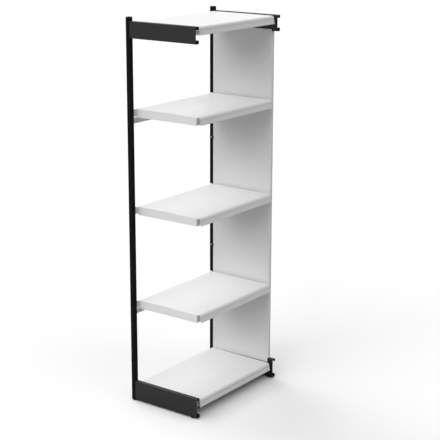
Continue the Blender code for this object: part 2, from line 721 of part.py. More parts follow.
def make_rails():
    half = RAIL_SHEET / 2
    front = POST_FRONT + RAIL_SETBACK + half
    rear = POST_FRONT + RAIL_SETBACK + RAIL_DEPTH
    section = [
        (rear, -half, 0), (front, -half, RAIL_BEND),
        (front, -RAIL_HEIGHT + half, RAIL_BEND), (rear, -RAIL_HEIGHT + half, 0)]
    ear_middle = POST_X - POST_FACE - GAP - EAR_SHEET / 2
    ribbon = curve_mesh([bent(section, BEND_STEPS)], 2 * ear_middle, False, ALONG_X)
    item = folded(tool("rail", ribbon), RAIL_SHEET)
    low = (POST_FRONT + RAIL_SETBACK - EAR_MARGIN, -RAIL_HEIGHT - EAR_MARGIN)
    high = (rear + EAR_MARGIN, EAR_MARGIN)
    for sign in SIDES.values():
        ear = plate([rectangle(low, high)], EAR_SHEET, ALONG_X, (sign * ear_middle, 0, 0))
        combine(item, tool("ear", ear), "UNION")
    mesh = baked(item)
    for name in RAIL_SHELVES:
        top = shelf_level(name) - SHELF_HEIGHT - RAIL_GAP
        part(f"{name}_tie_rail", mesh, white, (0, 0, top))


# Levelling feet with what they screw into


def make_feet():
    top = FOOT_HEIGHT - GAP
    foot = profile_mesh([
        (0, FOOT_HEIGHT + FOOT_STUD), (FOOT_STUD_RADIUS, FOOT_HEIGHT + FOOT_STUD),
        (FOOT_STUD_RADIUS, top), (FOOT_RADIUS - FOOT_EDGE, top), (FOOT_RADIUS, top - FOOT_EDGE),
        (FOOT_RADIUS, FOOT_EDGE), (FOOT_RADIUS - FOOT_EDGE, 0), (0, 0)])
    half = POST_FACE - POST_WALL - GAP
    bore = ring((0, 0), FOOT_STUD_RADIUS + HOLE_GAP, TURN_STEPS)
    insert = plate([rectangle((-half, -half), (half, half)), bore], INSERT_HEIGHT, ALONG_Z,
                   (0, 0, LEG_BOTTOM + INSERT_HEIGHT / 2))
    seat = LEG_BOTTOM + CHANNEL_SHEET + GAP
    nut = plate([ring((0, 0), NUT_RADIUS, NUT_SIDES), bore], NUT_HEIGHT, ALONG_Z, (0, 0, seat + NUT_HEIGHT / 2))
    for side, sign in SIDES.items():
        for place, y in (("front", FOOT_Y), ("rear", POST_Y)):
            spot = (sign * POST_X, y, 0)
            slide = joint_empty(f"{place}_{side}_foot_slide", spot)
            turn(part(f"{place}_{side}_foot", foot, plastic, parent=slide))
        part(f"{side}_post_insert", insert, plastic, (sign * POST_X, POST_Y, 0))
        part(f"{side}_leg_nut", nut, zinc, (sign * POST_X, FOOT_Y, 0))


clear_scene()
parts = new_collection("corner_shelving_unit")
cutters = new_collection("cutters")
black = new_material("black_powder_coat", (0.022, 0.022, 0.024), 0.5, 0.0)
white = new_material("white_powder_coat", (0.80, 0.80, 0.80), 0.45, 0.0)
plastic = new_material("black_plastic", (0.015, 0.015, 0.016), 0.6, 0.0)
zinc = new_material("zinc_plate", (0.55, 0.56, 0.58), 0.35, 1.0)

make_posts()
make_caps()
make_channels()
make_frame_bolts()
make_shelves()
make_shelf_screws()
make_panel()
make_clips()
make_rails()
make_feet()
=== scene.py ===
import bmesh
import bpy
import json
import math
from mathutils import Matrix, Vector


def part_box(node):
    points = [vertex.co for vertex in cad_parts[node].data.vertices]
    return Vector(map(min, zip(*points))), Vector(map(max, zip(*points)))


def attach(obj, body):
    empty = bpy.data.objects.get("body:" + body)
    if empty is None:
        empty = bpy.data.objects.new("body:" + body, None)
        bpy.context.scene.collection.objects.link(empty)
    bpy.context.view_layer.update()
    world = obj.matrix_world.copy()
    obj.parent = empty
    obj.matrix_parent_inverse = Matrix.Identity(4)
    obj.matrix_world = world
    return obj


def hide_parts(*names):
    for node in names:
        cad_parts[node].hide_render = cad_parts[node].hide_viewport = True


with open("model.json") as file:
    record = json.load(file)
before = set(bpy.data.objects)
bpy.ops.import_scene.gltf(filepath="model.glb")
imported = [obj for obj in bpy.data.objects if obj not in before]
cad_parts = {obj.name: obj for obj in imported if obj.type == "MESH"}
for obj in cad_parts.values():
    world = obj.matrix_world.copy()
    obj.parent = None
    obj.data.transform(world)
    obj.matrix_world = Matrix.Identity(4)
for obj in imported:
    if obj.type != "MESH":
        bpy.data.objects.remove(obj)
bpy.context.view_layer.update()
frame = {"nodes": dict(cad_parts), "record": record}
scene = bpy.context.scene
xAxis, yAxis, zAxis = Vector((1, 0, 0)), Vector((0, 1, 0)), Vector((0, 0, 1))
postSide = {"left": -1, "right": 1}
hungShelves = ("upper", "middle", "lower")
fixedShelves = ("top", "base")
touch = 0.00001  # points nearer than this are the same
parallel = 0.01  # sine of the angle below which edges run the same way
smoothBelow = math.radians(35)  # faces that meet at less look smooth
rimAbove = math.radians(50)  # edges of a sheet that are sharper get a small round
print("frame loaded:", len(frame["nodes"]), "nodes")


# shader groups, each built once and used by several finishes

def newGroup(name, inputs, outputs):
    group = bpy.data.node_groups.new(name, "ShaderNodeTree")
    for label, value in inputs.items():
        socket = group.interface.new_socket(label, in_out="INPUT", socket_type="NodeSocketFloat")
        socket.default_value = value
    for label in outputs:
        group.interface.new_socket(label, in_out="OUTPUT", socket_type="NodeSocketFloat")
    return group, group.nodes.new("NodeGroupInput"), group.nodes.new("NodeGroupOutput")


def addNode(tree, kind, values=None, **settings):
    node = tree.nodes.new(kind)
    for key, value in settings.items():
        setattr(node, key, value)
    for key, value in (values or {}).items():
        node.inputs[key].default_value = value
    return node


def join(tree, source, output, target, socket):
    tree.links.new(source.outputs[output], target.inputs[socket])


# powder coat: pebbled skin a millimetre across, with slow cloudy changes of gloss
def makeCoatGroup():
    group, given, result = newGroup("coatGrain", {"Peel Scale": 900.0, "Cloud Scale": 7.0}, ("Height", "Cloud"))
    spot = addNode(group, "ShaderNodeTexCoord")
    peel = addNode(group, "ShaderNodeTexNoise", {"Detail": 2.0, "Roughness": 0.55})
    cloud = addNode(group, "ShaderNodeTexNoise", {"Detail": 4.0, "Roughness": 0.6})
    for noise in (peel, cloud):
        join(group, spot, "Object", noise, "Vector")
    join(group, given, "Peel Scale", peel, "Scale")
    join(group, given, "Cloud Scale", cloud, "Scale")
    join(group, peel, "Fac", result, "Height")
    join(group, cloud, "Fac", result, "Cloud")
    return group


# dust lies on what faces up, in uneven patches
def makeDustGroup():
    group, given, result = newGroup("dustVeil", {"Amount": 0.3, "Patch Scale": 16.0}, ("Mask",))
    spot = addNode(group, "ShaderNodeTexCoord")
    patch = addNode(group, "ShaderNodeTexNoise", {"Detail": 6.0, "Roughness": 0.65})
    shape = addNode(group, "ShaderNodeNewGeometry")
    split = addNode(group, "ShaderNodeSeparateXYZ")
    up = addNode(group, "ShaderNodeMapRange", {"From Min": 0.3, "From Max": 1.0})
    uneven = addNode(group, "ShaderNodeMapRange", {"From Min": 0.35, "From Max": 0.75})
    both = addNode(group, "ShaderNodeMath", operation="MULTIPLY")
    some = addNode(group, "ShaderNodeMath", operation="MULTIPLY")
    join(group, spot, "Object", patch, "Vector")
    join(group, given, "Patch Scale", patch, "Scale")
    join(group, shape, "Normal", split, "Vector")
    join(group, split, "Z", up, "Value")
    join(group, patch, "Fac", uneven, "Value")
    join(group, up, "Result", both, 0)
    join(group, uneven, "Result", both, 1)
    join(group, both, "Value", some, 0)
    join(group, given, "Amount", some, 1)
    join(group, some, "Value", result, "Mask")
    return group


# rubbed edges: where a rounded normal leaves the flat one
def makeEdgeGroup():
    group, given, result = newGroup("rubbedEdge", {"Width": 0.0012, "Break Scale": 60.0}, ("Mask",))
    spot = addNode(group, "ShaderNodeTexCoord")
    soft = addNode(group, "ShaderNodeBevel", samples=4)
    shape = addNode(group, "ShaderNodeNewGeometry")
    turn = addNode(group, "ShaderNodeVectorMath", operation="DOT_PRODUCT")
    edge = addNode(group, "ShaderNodeMapRange", {"From Min": 0.97, "From Max": 0.80})
    breaks = addNode(group, "ShaderNodeTexNoise", {"Detail": 5.0, "Roughness": 0.7})
    broken = addNode(group, "ShaderNodeMapRange", {"From Min": 0.45, "From Max": 0.65})
    both = addNode(group, "ShaderNodeMath", operation="MULTIPLY")
    join(group, given, "Width", soft, "Radius")
    join(group, soft, "Normal", turn, 0)
    join(group, shape, "Normal", turn, 1)
    join(group, turn, "Value", edge, "Value")
    join(group, spot, "Object", breaks, "Vector")
    join(group, given, "Break Scale", breaks, "Scale")
    join(group, breaks, "Fac", broken, "Value")
    join(group, edge, "Result", both, 0)
    join(group, broken, "Result", both, 1)
    join(group, both, "Value", result, "Mask")
    return group


coatGroup = makeCoatGroup()
dustGroup = makeDustGroup()
edgeGroup = makeEdgeGroup()


# finishes

def newFinish(name, specular):
    mat = bpy.data.materials.new(name)
    mat.use_nodes = True
    shader = mat.node_tree.nodes["Principled BSDF"]
    shader.inputs["Specular IOR Level"].default_value = specular
    return mat, mat.node_tree, shader


def useGroup(tree, group, values):
    return addNode(tree, "ShaderNodeGroup", values, node_tree=group)


def blendColour(tree, first, second, source, output):
    mix = addNode(tree, "ShaderNodeMix", data_type="RGBA")
    mix.inputs["A"].default_value = (*first, 1)
    mix.inputs["B"].default_value = (*second, 1)
    join(tree, source, output, mix, "Factor")
    return mix


def layColour(tree, under, colour, source, output):
    mix = addNode(tree, "ShaderNodeMix", data_type="RGBA")
    join(tree, under, "Result", mix, "A")
    mix.inputs["B"].default_value = (*colour, 1)
    join(tree, source, output, mix, "Factor")
    return mix


def setGloss(tree, shader, source, smooth, dull):
    gloss = addNode(tree, "ShaderNodeMapRange",
                    {"From Min": 0.3, "From Max": 0.7, "To Min": smooth, "To Max": dull})
    join(tree, source, "Cloud", gloss, "Value")
    join(tree, gloss, "Result", shader, "Roughness")


def roughSkin(tree, shader, source, output, strength, distance):
    bump = addNode(tree, "ShaderNodeBump", {"Strength": strength, "Distance": distance})
    join(tree, source, output, bump, "Height")
    join(tree, bump, "Normal", shader, "Normal")


coat = {
    "black": (0.0105, 0.0105, 0.0112), "blackCloud": (0.0150, 0.0150, 0.0158), "bare": (0.09, 0.09, 0.09),
    "deep": (0.0060, 0.0060, 0.0064), "deepCloud": (0.0090, 0.0090, 0.0095),
    "white": (0.800, 0.803, 0.800), "whiteCloud": (0.845, 0.847, 0.842), "chip": (0.62, 0.62, 0.61),
    "plastic": (0.012, 0.012, 0.013), "plasticCloud": (0.020, 0.020, 0.021),
    "zinc": (0.50, 0.51, 0.53), "zincStreak": (0.66, 0.67, 0.69),
    "dust": (0.46, 0.45, 0.43), "greyDust": (0.10, 0.10, 0.10)}


def makeBlackCoat(name, specular, smooth, dull, tint):
    mat, tree, shader = newFinish(name, specular)
    grain = useGroup(tree, coatGroup, {"Peel Scale": 1100.0, "Cloud Scale": 9.0})
    dust = useGroup(tree, dustGroup, {"Amount": 0.25, "Patch Scale": 22.0})
    edge = useGroup(tree, edgeGroup, {"Width": 0.0010, "Break Scale": 70.0})
    colour = blendColour(tree, coat[tint], coat[f"{tint}Cloud"], grain, "Cloud")
    colour = layColour(tree, colour, coat["bare"], edge, "Mask")
    colour = layColour(tree, colour, coat["greyDust"], dust, "Mask")
    join(tree, colour, "Result", shader, "Base Color")
    setGloss(tree, shader, grain, smooth, dull)
    roughSkin(tree, shader, grain, "Height", strength=0.35, distance=0.0002)
    return mat


def makeWhiteCoat():
    mat, tree, shader = newFinish("white_powder_coat", specular=0.42)
    grain = useGroup(tree, coatGroup, {"Peel Scale": 950.0, "Cloud Scale": 5.0})
    dust = useGroup(tree, dustGroup, {"Amount": 0.06, "Patch Scale": 14.0})
    edge = useGroup(tree, edgeGroup, {"Width": 0.0008, "Break Scale": 90.0})
    colour = blendColour(tree, coat["white"], coat["whiteCloud"], grain, "Cloud")
    colour = layColour(tree, colour, coat["chip"], edge, "Mask")
    colour = layColour(tree, colour, coat["dust"], dust, "Mask")
    join(tree, colour, "Result", shader, "Base Color")
    setGloss(tree, shader, grain, smooth=0.40, dull=0.52)
    roughSkin(tree, shader, grain, "Height", strength=0.22, distance=0.0002)
    return mat


def makePlastic():
    mat, tree, shader = newFinish("black_plastic", specular=0.15)
    grain = useGroup(tree, coatGroup, {"Peel Scale": 2400.0, "Cloud Scale": 40.0})
    dust = useGroup(tree, dustGroup, {"Amount": 0.3, "Patch Scale": 40.0})
    colour = blendColour(tree, coat["plastic"], coat["plasticCloud"], grain, "Cloud")
    colour = layColour(tree, colour, coat["greyDust"], dust, "Mask")
    join(tree, colour, "Result", shader, "Base Color")
    setGloss(tree, shader, grain, smooth=0.48, dull=0.66)
    roughSkin(tree, shader, grain, "Height", strength=0.5, distance=0.00015)
    return mat


# bright plating, with drawn streaks and duller patches
def makeZinc():
    mat, tree, shader = newFinish("zinc_plate", specular=0.5)
    shader.inputs["Metallic"].default_value = 1.0
    spot = addNode(tree, "ShaderNodeTexCoord")
    streak = addNode(tree, "ShaderNodeTexNoise", {"Scale": 60.0, "Detail": 4.0})
    stretch = addNode(tree, "ShaderNodeMapping", {"Scale": (20.0, 1.0, 20.0)})
    grain = useGroup(tree, coatGroup, {"Peel Scale": 1800.0, "Cloud Scale": 160.0})
    join(tree, spot, "Object", stretch, "Vector")
    join(tree, stretch, "Vector", streak, "Vector")
    colour = blendColour(tree, coat["zinc"], coat["zincStreak"], streak, "Fac")
    join(tree, colour, "Result", shader, "Base Color")
    setGloss(tree, shader, grain, smooth=0.25, dull=0.42)
    roughSkin(tree, shader, streak, "Fac", strength=0.15, distance=0.0001)
    return mat


finish = {
    "black_powder_coat": makeBlackCoat("black_powder_coat", specular=0.25, smooth=0.42, dull=0.58, tint="black"),
    "flat_black_coat": makeBlackCoat("flat_black_coat", specular=0.04, smooth=0.62, dull=0.78, tint="deep"),
    "white_powder_coat": makeWhiteCoat(), "black_plastic": makePlastic(), "zinc_plate": makeZinc()}
print("finishes made:", ", ".join(finish))


# mesh helpers

def vertsOf(made):
    return [g for g in made["geom"] if isinstance(g, bmesh.types.BMVert)]


def edgesAt(verts):
    return list({e for v in verts for e in v.link_edges})


def farEdges(made, verts):
    return [g for g in made["geom"] if isinstance(g, bmesh.types.BMEdge) and all(v in verts for v in g.verts)]


def roundEdges(bm, edges, radius, steps):
    bmesh.ops.bevel(bm, geom=edges, offset=radius, offset_type="OFFSET", affect="EDGES",
                    segments=steps, profile=0.5, material=-1)


def sliceAt(bm, spot, normal, **options):
    bmesh.ops.bisect_plane(bm, geom=bm.verts[:] + bm.edges[:] + bm.faces[:],
                           plane_co=spot, plane_no=normal, **options)


def setDown(bm, old, stand):
    # what is new in the mesh gets its normals and is moved from the origin to its place
    made = [v for v in bm.verts if v not in old]
    bmesh.ops.recalc_face_normals(bm, faces=list({f for v in made for f in v.link_faces}))
    bmesh.ops.transform(bm, matrix=stand, verts=made)


def foldStrip(points, folds, reach):
    # a sheet's outer face: corner points drawn out along reach, then rounded at the folds
    bm = bmesh.new()
    line = [bm.verts.new(p) for p in points]
    edges = [bm.edges.new(pair) for pair in zip(line, line[1:])]
    made = bmesh.ops.extrude_edge_only(bm, edges=edges)
    bmesh.ops.translate(bm, verts=vertsOf(made), vec=reach)
    way = Vector(reach).normalized()
    for index, (radius, steps) in folds.items():
        before = Vector(points[index]) - Vector(points[index - 1])
        after = Vector(points[index + 1]) - Vector(points[index])
        setback = radius * math.tan(before.angle(after) / 2)
        along = [e for e in line[index].link_edges
                 if (e.verts[0].co - e.verts[1].co).normalized().cross(way).length < parallel]
        roundEdges(bm, along, setback, steps)
    return bm


def turnOut(bm, direction):
    # makes the face that lies furthest along direction look that way, and the rest agree with it
    bmesh.ops.recalc_face_normals(bm, faces=bm.faces[:])
    far = max(bm.faces, key=lambda f: (round(f.calc_center_median().dot(direction), 5), f.calc_area()))
    if far.normal.dot(direction) < 0:
        bmesh.ops.reverse_faces(bm, faces=bm.faces[:])


def block(bm, low, high, radius=0.0):
    low, high = Vector(low), Vector(high)
    stand = Matrix.Translation((low + high) / 2) @ Matrix.Diagonal((*(high - low), 1))
    made = bmesh.ops.create_cube(bm, size=1, matrix=stand)["verts"]
    if radius:
        roundEdges(bm, edgesAt(made), radius, 2)
    return bm


def prism(bm, outline, reach, radius, steps):
    # an outline drawn out along reach, with all its edges rounded
    old = set(bm.verts)
    face = bm.faces.new([bm.verts.new(p) for p in outline])
    made = bmesh.ops.extrude_face_region(bm, geom=[face])
    bmesh.ops.translate(bm, verts=vertsOf(made), vec=reach)
    new = [v for v in bm.verts if v not in old]
    bmesh.ops.recalc_face_normals(bm, faces=list({f for v in new for f in v.link_faces}))
    roundEdges(bm, edgesAt(new), radius, steps)
    return bm


def lathe(bm, profile, stand, steps=32):
    # profile is radius and height, turned round z and then put in place
    old = set(bm.verts)
    line = [bm.verts.new((radius, 0, height)) for radius, height in profile]
    edges = [bm.edges.new(pair) for pair in zip(line, line[1:])]
    bmesh.ops.spin(bm, geom=line + edges, cent=(0, 0, 0), axis=(0, 0, 1), dvec=(0, 0, 0),
                   angle=2 * math.pi, steps=steps, use_merge=True, use_duplicate=False)
    bmesh.ops.remove_doubles(bm, verts=[v for v in bm.verts if v not in old], dist=touch / 2)
    setDown(bm, old, stand)
    return bm


thread = {"width": 0.84, "root": 0.0002, "steps": 14}  # share of the pitch, depth in the core, steps a turn


def threadRidge(bm, core, ridge, pitch, length, stand):
    # one helical ridge, wound up along z
    half, root, steps = pitch * thread["width"] / 2, core - thread["root"], thread["steps"]
    old = set(bm.verts)
    corners = [bm.verts.new(p) for p in ((root, 0, -half), (core + ridge, 0, 0), (root, 0, half))]
    section = bm.faces.new(corners)
    turns = length / pitch
    bmesh.ops.spin(bm, geom=[*corners, *section.edges, section], cent=(0, 0, 0), axis=(0, 0, 1),
                   dvec=(0, 0, pitch / steps), angle=2 * math.pi * turns,
                   steps=int(steps * turns), use_merge=False, use_duplicate=False)
    setDown(bm, old, stand)


def socketBolt(bm, profile, socket, depth, stand):
    # head and shank, radius and height from the rim down, with a six-sided socket sunk in the top
    old = set(bm.verts)
    radius, height = profile[0]
    hexagon = bmesh.ops.create_circle(bm, segments=6, radius=socket)["verts"]
    bmesh.ops.subdivide_edges(bm, edges=edgesAt(hexagon), cuts=3)
    inner = [v for v in bm.verts if v not in old]
    innerEdges = edgesAt(inner)
    outer = bmesh.ops.create_circle(bm, segments=24, radius=radius)["verts"]
    ring = edgesAt(outer)
    bmesh.ops.bridge_loops(bm, edges=innerEdges + ring)
    bmesh.ops.translate(bm, verts=inner + outer, vec=(0, 0, height))
    for newRadius, newHeight in profile[1:]:
        wall = bmesh.ops.extrude_edge_only(bm, edges=ring)
        below = vertsOf(wall)
        bmesh.ops.scale(bm, vec=(newRadius / radius, newRadius / radius, 1), verts=below)
        bmesh.ops.translate(bm, verts=below, vec=(0, 0, newHeight - height))
        ring = farEdges(wall, below)
        radius, height = newRadius, newHeight
    bmesh.ops.edgeloop_fill(bm, edges=ring)
    sink = bmesh.ops.extrude_edge_only(bm, edges=innerEdges)
    bottom = vertsOf(sink)
    bmesh.ops.translate(bm, verts=bottom, vec=(0, 0, -depth))
    bmesh.ops.edgeloop_fill(bm, edges=farEdges(sink, bottom))
    setDown(bm, old, stand)


def looseObject(name, bm):
    mesh = bpy.data.meshes.new(name)
    bm.to_mesh(mesh)
    bm.free()
    obj = bpy.data.objects.new(name, mesh)
    scene.collection.objects.link(obj)
    return obj


def thicken(obj, thickness, rim=0.0):
    wall = obj.modifiers.new("wall", "SOLIDIFY")
    wall.thickness = thickness
    wall.offset = -1
    wall.use_even_offset = True
    wall.use_quality_normals = True
    if rim:
        edge = obj.modifiers.new("edge", "BEVEL")
        edge.width = rim
        edge.segments = 2
        edge.limit_method = "ANGLE"
        edge.angle_limit = rimAbove
    return obj


def cut(obj, cutter):
    change = obj.modifiers.new("cut", "BOOLEAN")
    change.operation = "DIFFERENCE"
    change.solver = "EXACT"
    change.object = cutter
    return obj


def settle(obj, tools=()):
    # modifiers become the mesh itself, and the cutters go
    graph = bpy.context.evaluated_depsgraph_get()
    mesh = bpy.data.meshes.new_from_object(obj.evaluated_get(graph))
    obj.modifiers.clear()
    old = obj.data
    obj.data = mesh
    bpy.data.meshes.remove(old)
    for gone in tools:
        bpy.data.objects.remove(gone)
    return obj


def addTo(obj, bm):
    # joins more geometry to a settled piece
    both = bmesh.new()
    both.from_mesh(obj.data)
    extra = bpy.data.meshes.new("extra")
    bm.to_mesh(extra)
    bm.free()
    both.from_mesh(extra)
    both.to_mesh(obj.data)
    both.free()
    bpy.data.meshes.remove(extra)


def finishPiece(obj, body, slotName, *nodes, finishName=None):
    mesh = obj.data
    mesh.materials.clear()
    mesh.materials.append(finish[finishName or slotName])
    mesh.shade_smooth()
    mesh.set_sharp_from_angle(angle=smoothBelow)
    even = obj.modifiers.new("even", "WEIGHTED_NORMAL")  # flats stay flat beside their folds
    even.keep_sharp = True
    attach(obj, body)
    if nodes:
        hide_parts(*nodes)


def standOn(direction, spot):
    return Matrix.Translation(spot) @ zAxis.rotation_difference(Vector(direction)).to_matrix().to_4x4()


# shelves: folded trays with a rolled and flared front lip, and an open slot at each front corner

shelf = {
    "sheet": 0.0015, "height": 0.042, "rear": 0.030, "flare": 0.0055, "lipFlat": 0.021, "hem": 0.006,
    "lipRound": 0.014, "flareRound": 0.012, "bend": 0.0025, "corner": 0.0017, "rim": 0.0003,
    "notchIn": 0.0047, "notchBack": 0.004, "sideStop": 0.006, "sideStart": 0.0145, "sideFoot": 0.0165,
    "lipInset": 0.009, "lipClear": 0.0002, "relief": 0.006, "tab": 0.040}


def makeShelf(name, body):
    low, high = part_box(f"{name}_shelf")
    s = shelf
    top, bottom, rear = high.z, high.z - s["height"], high.y
    lip = low.y + s["flare"]
    start, foot, stop = lip + s["sideStart"], lip + s["sideFoot"], rear - s["sideStop"]
    points = [(low.x, y, z) for y, z in (
        (rear, top - s["rear"]), (rear, top), (stop, top), (start, top), (lip, top),
        (lip, top - s["lipFlat"]), (low.y, bottom), (low.y + s["hem"], bottom))]
    folds = {1: (s["bend"], 5), 4: (s["lipRound"], 10), 5: (s["flareRound"], 4), 6: (s["bend"], 6)}
    bm = foldStrip(points, folds, (high.x - low.x, 0, 0))
    for x, inward in ((low.x, 1), (high.x, -1)):
        brow, crest = (next(v for v in bm.verts if (v.co - Vector((x, y, top))).length < touch)
                       for y in (start, stop))
        heel = bm.verts.new((x, stop, bottom))
        toe = bm.verts.new((x, foot, bottom))
        relief = bm.verts.new((x, foot, top - s["relief"]))
        bm.faces.new((brow, crest, heel, toe, relief))
        foldEdge = bm.edges.get((toe, relief))
        made = bmesh.ops.extrude_edge_only(bm, edges=[foldEdge])
        bmesh.ops.translate(bm, verts=vertsOf(made), vec=(inward * s["tab"], 0, 0))
        for v in bm.verts:
            if abs(v.co.x - x) < touch and v.co.y < foot - s["lipClear"]:
                v.co.x += inward * s["lipInset"]
        roundEdges(bm, [bm.edges.get((brow, crest)), foldEdge], s["corner"], 3)
    # notches that let the brackets by
    left, right, back = low.x + s["notchIn"], high.x - s["notchIn"], rear - s["notchBack"]
    for spot, normal in (((left, 0, 0), xAxis), ((right, 0, 0), xAxis), ((0, back, 0), yAxis)):
        sliceAt(bm, spot, normal)
    gone = [f for f in bm.faces if f.calc_center_median().y > back
            and not left < f.calc_center_median().x < right]
    bmesh.ops.delete(bm, geom=gone, context="FACES")
    turnOut(bm, zAxis)
    obj = settle(thicken(looseObject(f"{name}ShelfTray", bm), s["sheet"], s["rim"]))
    finishPiece(obj, body, "white_powder_coat", f"{name}_shelf")


hat = {"sheet": 0.0012, "bend": 0.0018, "mouth": 0.018, "crown": 0.014, "rim": 0.0002}


def makeStiffener(name, body):
    low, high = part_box(f"{name}_shelf_stiffener")
    middle = (low.y + high.y) / 2
    points = [(low.x, y, z) for y, z in (
        (low.y, high.z), (middle - hat["mouth"], high.z), (middle - hat["crown"], low.z),
        (middle + hat["crown"], low.z), (middle + hat["mouth"], high.z), (high.y, high.z))]
    bm = foldStrip(points, {k: (hat["bend"], 4) for k in (1, 2, 3, 4)}, (high.x - low.x, 0, 0))
    turnOut(bm, -zAxis)
    obj = settle(thicken(looseObject(f"{name}ShelfHat", bm), hat["sheet"], hat["rim"]))
    finishPiece(obj, body, "white_powder_coat", f"{name}_shelf_stiffener")


for name in hungShelves:
    makeShelf(name, f"{name}_shelf_set")
    makeStiffener(name, f"{name}_shelf_set")
for name in fixedShelves:
    makeShelf(name, "frame")
    makeStiffener(name, "frame")
print("shelves folded")


# brackets: cranked plates that hook into the posts

bracket = {
    "sheet": 0.002, "bend": 0.0035, "rim": 0.0004, "deep": 0.036, "nose": 0.018, "taper": 0.220,
    "postGap": 0.0023, "crankStart": 0.002, "crankEnd": 0.012,
    # hooks: how far behind the front of the post and below the top they sit, and their sizes
    "hookBack": 0.0165, "hookDown": (0.0102, 0.0352), "hookThick": 0.0024, "hookReach": 0.0024, "catch": 0.002,
    "hookDrop": 0.006, "hookRise": 0.007, "hookRound": 0.0004}


def innerFace(side):
    low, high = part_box(f"{side}_post")
    return low.x if side == "right" else high.x


def makeBracket(name, side):
    node = f"{name}_{side}_bracket"
    low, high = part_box(node)
    sign, b = postSide[side], bracket
    postFace, postFront = innerFace(side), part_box(f"{side}_post")[0].y
    inner = low.x if side == "right" else high.x
    outer = postFace - sign * b["postGap"]
    top, bottom = high.z, high.z - b["deep"]
    points = [(x, y, bottom) for x, y in (
        (inner, low.y), (inner, postFront + b["crankStart"]), (outer, postFront + b["crankEnd"]), (outer, high.y))]
    bm = foldStrip(points, {1: (b["bend"], 5), 2: (b["bend"], 5)}, (0, 0, b["deep"]))
    taper = Vector((0, b["taper"], b["nose"] - b["deep"]))
    sliceAt(bm, (0, low.y, top - b["nose"]), taper.cross(xAxis), clear_outer=True)
    turnOut(bm, xAxis * -sign)
    obj = settle(thicken(looseObject(f"{name}{side.title()}Bracket", bm), b["sheet"], b["rim"]))
    hooks = bmesh.new()
    y = postFront + b["hookBack"] - b["hookThick"] / 2
    root, catch = outer + sign * b["sheet"] / 2, postFace + sign * b["hookReach"]
    tip = catch + sign * b["catch"]
    for down in b["hookDown"]:
        level = top - down
        outline = [(x, y, z) for x, z in (
            (root, level), (catch, level), (catch, level - b["hookDrop"]), (tip, level - b["hookDrop"]),
            (tip, level + b["hookRise"]), (root, level + b["hookRise"]))]
        prism(hooks, outline, (0, b["hookThick"], 0), b["hookRound"], 2)
    addTo(obj, hooks)
    finishPiece(obj, f"{name}_shelf_set", "white_powder_coat", node)


for name in hungShelves:
    for side in postSide:
        makeBracket(name, side)
print("brackets bent")


# bolts and screws

bolt = {
    "head": 0.0055, "headHigh": 0.0017, "shank": 0.003, "gap": 0.0003, "socket": 0.0022, "socketDeep": 0.0014,
    "pitch": 0.001, "ridge": 0.0003, "threaded": 0.007, "holeReach": 0.002, "holeDeep": 0.006}
frameBolts = ("arm_bolt_lower", "arm_bolt_upper", "leg_bolt_lower", "leg_bolt_upper")
screws = {
    "shelf": {"head": 0.0048, "headHigh": 0.0028, "dome": 0.0010, "socket": 0.0020, "socketDeep": 0.0017,
              "shank": 0.0025, "length": 0.012},
    "panel": {"head": 0.0030, "headHigh": 0.0012, "dome": 0.0006, "socket": 0.0013, "socketDeep": 0.0008,
              "shank": 0.00175, "length": 0.006},
    "clip": {"head": 0.0032, "headHigh": 0.0016, "dome": 0.0006, "socket": 0.0014, "socketDeep": 0.0010},
    "rail": {"head": 0.0042, "headHigh": 0.0022, "dome": 0.0008, "socket": 0.0020, "socketDeep": 0.0013}}
shankTip = 0.0005


def camelName(node):
    first, *rest = node.split("_")
    return first + "".join(word.title() for word in rest)


def headSpot(node, way):
    # middle of the end of a CAD box that looks along way
    low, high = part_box(node)
    return (low + high) / 2 + Vector([w * half for w, half in zip(way, (high - low) / 2)])


def makeScrew(name, kind, way, seat, slotName, *nodes):
    # seat is under the head, and the head looks along way
    k = screws[kind]
    profile = [(k["head"] - k["dome"], k["headHigh"]), (k["head"], k["headHigh"] - k["dome"]), (k["head"], 0)]
    if "shank" in k:
        profile += [(k["shank"], 0), (k["shank"], shankTip - k["length"]), (k["shank"] - shankTip, -k["length"])]
    bm = bmesh.new()
    socketBolt(bm, profile, k["socket"], k["socketDeep"], standOn(way, seat))
    finishPiece(looseObject(name, bm), "frame", slotName, *nodes)


def makeFittedScrew(node, kind, way, slotName):
    # a screw that takes the place of a CAD one
    makeScrew(camelName(node), kind, way, headSpot(node, way) - way * screws[kind]["headHigh"], slotName, node)


def makeBolt(node):
    # countersunk, with its thread at the far end
    low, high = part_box(node)
    length, shank, core = high.y - low.y, bolt["shank"], bolt["shank"] - bolt["ridge"]
    stand = standOn(yAxis, headSpot(node, yAxis))
    profile = [(bolt["head"], 0), (shank, -bolt["headHigh"]), (shank, bolt["threaded"] - length),
               (core, bolt["threaded"] - length), (core, shankTip - length), (core - shankTip, -length)]
    bm = bmesh.new()
    socketBolt(bm, profile, bolt["socket"], bolt["socketDeep"], stand)
    threadRidge(bm, core, bolt["ridge"], bolt["pitch"], bolt["threaded"] - 2 * bolt["pitch"],
                stand @ Matrix.Translation((0, 0, bolt["pitch"] - length)))
    finishPiece(looseObject(camelName(node), bm), "frame", "zinc_plate", node)


def boltHole(bm, node):
    # cutter for a countersunk hole
    flare = (bolt["head"] - bolt["shank"]) / bolt["headHigh"]
    mouth, shank = bolt["head"] + bolt["gap"] + flare * bolt["holeReach"], bolt["shank"] + bolt["gap"]
    lathe(bm, [(0, bolt["holeReach"]), (mouth, bolt["holeReach"]), (shank, -bolt["headHigh"]),
               (shank, -bolt["holeDeep"]), (0, -bolt["holeDeep"])], standOn(yAxis, headSpot(node, yAxis)), 24)


# end frames: slotted posts with capped tops, and the channels that butt onto them

